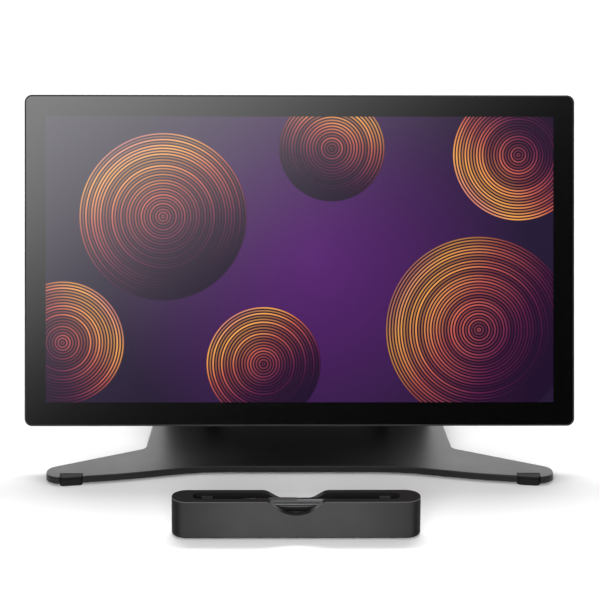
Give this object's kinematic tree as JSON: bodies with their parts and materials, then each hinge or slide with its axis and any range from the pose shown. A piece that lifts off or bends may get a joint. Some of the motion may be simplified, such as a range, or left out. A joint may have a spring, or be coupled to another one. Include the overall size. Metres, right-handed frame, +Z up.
{
  "type": "graphics tablet with screen",
  "caption": "Pen display with a glass front on a low folding stand with forward legs, with a free-standing slotted pen tray and a pen in front.",
  "frame": {"origin": "on the desk under the middle of the set's bounding box", "axes": "+X to the user's right along the display, +Y away from the user, +Z up"},
  "size_m": [0.515, 0.3684, 0.3398],
  "materials": {
    "base_finish": "satin powder coat",
    "pad_rubber": "matt",
    "hinge_metal": "satin",
    "steel": "brushed",
    "arm_metal": "anodised dark grey",
    "arm_cover": "fine grain",
    "bush": "turned",
    "housing": "fine grain",
    "grille": "fine grain",
    "chassis_metal": "cast",
    "display_glass": "etched, satin gloss",
    "screen": "lit picture",
    "diffuser": "white",
    "board": "solder mask",
    "shield": "rolled",
    "fan_plastic": "moulded",
    "soft_grip": "soft touch",
    "key": "fine grain",
    "tray_plastic": "satin",
    "liner": "matt",
    "pen_plastic": "satin",
    "pen_rubber": "soft",
    "nib": "moulded"
  },
  "bodies": {
    "base": {"base_plate": "base_finish", "front_foot_pad_left": "pad_rubber", "front_foot_pad_right": "pad_rubber", "rear_foot_pads": "pad_rubber", "hinge_block_left": "hinge_metal", "hinge_block_right": "hinge_metal", "hinge_block_screws": "steel", "fold_shaft": "steel"},
    "arm": {"arm_frame": "arm_metal", "arm_rear_cover": "arm_cover", "arm_front_cover": "arm_cover", "arm_cover_screws": "steel", "lever_pin": "steel", "fold_bushes": "bush", "spring_cartridges": "steel", "fold_caps": "hinge_metal"},
    "lever": {"release_lever": "hinge_metal"},
    "display": {"tilt_bracket": "hinge_metal", "tilt_shaft": "steel", "tilt_washers": "steel", "bracket_screws": "steel", "rear_cover": "housing", "exhaust_grille": "grille", "intake_grille": "grille", "chassis": "chassis_metal", "cover_glass": "display_glass", "lcd_panel": "screen", "backlight": "diffuser", "sensor_board": "board", "sensor_shield": "shield", "main_board": "board", "heat_spreader": "shield", "fan_housing": "fan_plastic", "port_sockets": "steel", "grip_left": "soft_grip", "grip_right": "soft_grip", "key_boards": "board", "thread_inserts": "steel", "cover_screws": "steel"},
    "fan": {"fan_rotor": "fan_plastic"},
    "power_button": {"power_button": "key"},
    "touch_switch": {"touch_switch": "key"},
    "tray": {"tray_shell": "tray_plastic", "tray_base": "tray_plastic", "tray_feet": "pad_rubber", "tray_liner": "liner"},
    "pen": {"pen_barrel": "pen_plastic", "pen_grip": "pen_rubber", "pen_nib": "nib"},
    "pen_switch": {"pen_switch": "key"},
    "express_key_1": {"express_key_1": "key"},
    "express_key_2": {"express_key_2": "key"},
    "express_key_3": {"express_key_3": "key"},
    "express_key_4": {"express_key_4": "key"},
    "express_key_5": {"express_key_5": "key"},
    "express_key_6": {"express_key_6": "key"},
    "express_key_7": {"express_key_7": "key"},
    "express_key_8": {"express_key_8": "key"}
  },
  "joints": [
    {"name": "arm_fold", "type": "hinge", "parent": "base", "child": "arm", "pos_m": [0, 0.14193, 0.02664], "axis": [1, 0, 0], "range_deg": [0, 56]},
    {"name": "display_tilt", "type": "hinge", "parent": "arm", "child": "display", "pos_m": [0, 0.08386, 0.17035], "axis": [-1, 0, 0], "range_deg": [0, 123]},
    {"name": "release_lever_press", "type": "hinge", "parent": "arm", "child": "lever", "pos_m": [0, 0.11097, 0.14464], "axis": [-1, 0, 0], "range_deg": [0, 10], "stiffness_Nm_per_rad": 0.4, "springref_deg": -11.46},
    {"name": "fan_spin", "type": "hinge", "parent": "display", "child": "fan", "pos_m": [0.0928, 0.05704, 0.2043], "axis": [0, -0.9511, 0.309], "continuous": true},
    {"name": "power_press", "type": "slide", "parent": "display", "child": "power_button", "axis": [0, -0.9511, 0.309], "range_m": [0, 0.0008], "stiffness_N_per_m": 900, "springref_m": -0.0005},
    {"name": "touch_slide", "type": "slide", "parent": "display", "child": "touch_switch", "axis": [1, 0, 0], "range_m": [0, 0.004]},
    {"name": "tray_slide", "type": "slide", "parent": "base", "child": "tray", "axis": [0, -1, 0], "range_m": [0, 0.08]},
    {"name": "pen_lift", "type": "slide", "parent": "tray", "child": "pen", "axis": [0, 0, 1], "range_m": [0, 0.03]},
    {"name": "pen_switch_press", "type": "slide", "parent": "pen", "child": "pen_switch", "axis": [0, 0, -1], "range_m": [0, 0.0004], "stiffness_N_per_m": 700, "springref_m": -0.0005},
    {"name": "key_1_press", "type": "slide", "parent": "display", "child": "express_key_1", "axis": [0, -0.9511, 0.309], "range_m": [0, 0.001], "stiffness_N_per_m": 900, "springref_m": -0.0005},
    {"name": "key_2_press", "type": "slide", "parent": "display", "child": "express_key_2", "axis": [0, -0.9511, 0.309], "range_m": [0, 0.001], "stiffness_N_per_m": 900, "springref_m": -0.0005},
    {"name": "key_3_press", "type": "slide", "parent": "display", "child": "express_key_3", "axis": [0, -0.9511, 0.309], "range_m": [0, 0.001], "stiffness_N_per_m": 900, "springref_m": -0.0005},
    {"name": "key_4_press", "type": "slide", "parent": "display", "child": "express_key_4", "axis": [0, -0.9511, 0.309], "range_m": [0, 0.001], "stiffness_N_per_m": 900, "springref_m": -0.0005},
    {"name": "key_5_press", "type": "slide", "parent": "display", "child": "express_key_5", "axis": [0, -0.9511, 0.309], "range_m": [0, 0.001], "stiffness_N_per_m": 900, "springref_m": -0.0005},
    {"name": "key_6_press", "type": "slide", "parent": "display", "child": "express_key_6", "axis": [0, -0.9511, 0.309], "range_m": [0, 0.001], "stiffness_N_per_m": 900, "springref_m": -0.0005},
    {"name": "key_7_press", "type": "slide", "parent": "display", "child": "express_key_7", "axis": [0, -0.9511, 0.309], "range_m": [0, 0.001], "stiffness_N_per_m": 900, "springref_m": -0.0005},
    {"name": "key_8_press", "type": "slide", "parent": "display", "child": "express_key_8", "axis": [0, -0.9511, 0.309], "range_m": [0, 0.001], "stiffness_N_per_m": 900, "springref_m": -0.0005}
  ],
  "couplings": [
    {"joint": "display_tilt", "follows": "arm_fold", "ratio": 2.196}
  ]
}
